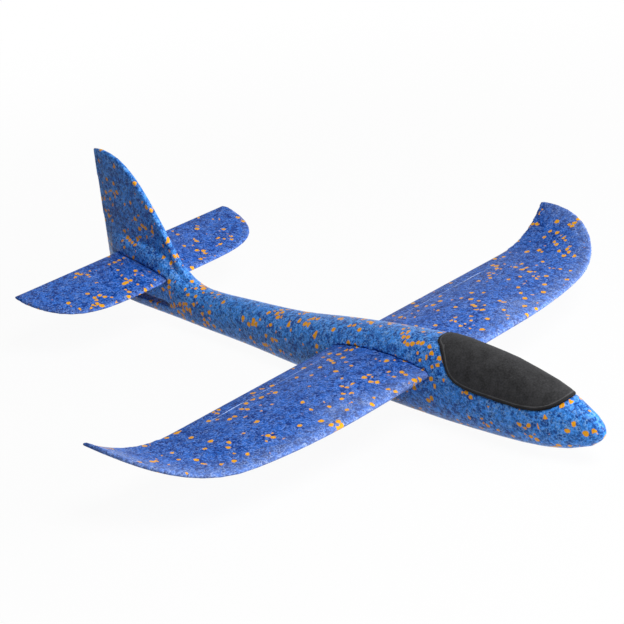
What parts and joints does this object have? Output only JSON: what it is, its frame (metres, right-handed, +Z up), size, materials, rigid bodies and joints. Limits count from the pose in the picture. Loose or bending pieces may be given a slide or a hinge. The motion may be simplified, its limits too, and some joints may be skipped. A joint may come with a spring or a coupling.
{
  "type": "foam hand-launch glider",
  "caption": "Moulded foam hand-launch glider: finned fuselage, upturned-tip wing and tailplane pushed through slots, soft black canopy pad and hidden nose weight.",
  "frame": {"origin": "under the middle of the bounding box, at the level of the flat of the belly that it rests on", "axes": "+X towards the nose, +Y to port along the wing, +Z up"},
  "size_m": [0.4774, 0.479, 0.1318],
  "materials": {
    "fuselage_foam": "moulded bead foam, cyan-blue with orange flecks",
    "wing_foam": "moulded bead foam, violet-blue with orange flecks",
    "canopy_rubber": "matt black closed-cell sheet, moulded edge",
    "weight_steel": "plain cut steel bar"
  },
  "bodies": {
    "airframe": {"fuselage": "fuselage_foam", "canopy_pad": "canopy_rubber", "balance_weight": "weight_steel"},
    "wing": {"wing": "wing_foam"},
    "tailplane": {"tailplane": "wing_foam"}
  },
  "joints": [
    {"name": "wing_slide", "type": "slide", "parent": "airframe", "child": "wing", "axis": [0, 1, 0], "range_m": [-0.145, 0.145]},
    {"name": "tail_slide", "type": "slide", "parent": "airframe", "child": "tailplane", "axis": [0, 1, 0], "range_m": [-0.125, 0.125]}
  ]
}
